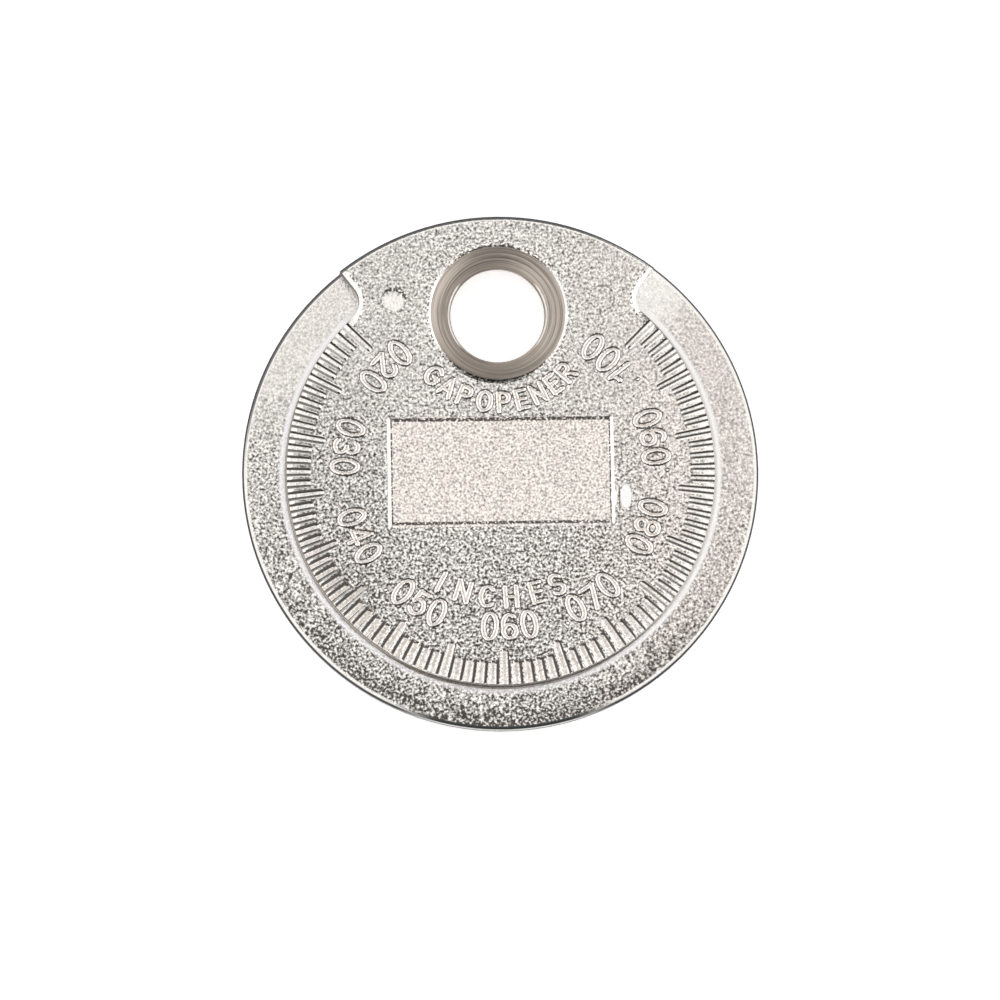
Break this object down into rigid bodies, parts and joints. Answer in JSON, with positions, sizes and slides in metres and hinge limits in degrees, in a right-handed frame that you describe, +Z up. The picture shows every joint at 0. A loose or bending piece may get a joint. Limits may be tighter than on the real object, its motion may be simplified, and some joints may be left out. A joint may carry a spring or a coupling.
{
  "type": "spark plug gap gauge",
  "caption": "Coin-shaped ramp gauge in cast metal: its rim thickens round the edge to measure an electrode gap, and a countersunk hole serves to open the gap.",
  "frame": {"origin": "on the coin's axis, at the surface that it lies on", "axes": "+Z up out of the inch face, +Y towards the gap opening hole, +X towards the thick end of the rim"},
  "size_m": [0.0381, 0.0381, 0.0036],
  "materials": {
    "plated_casting": "bright nickel plate over a rough cast surface"
  },
  "bodies": {
    "root": {"gauge_disc": "plated_casting"}
  },
  "joints": []
}
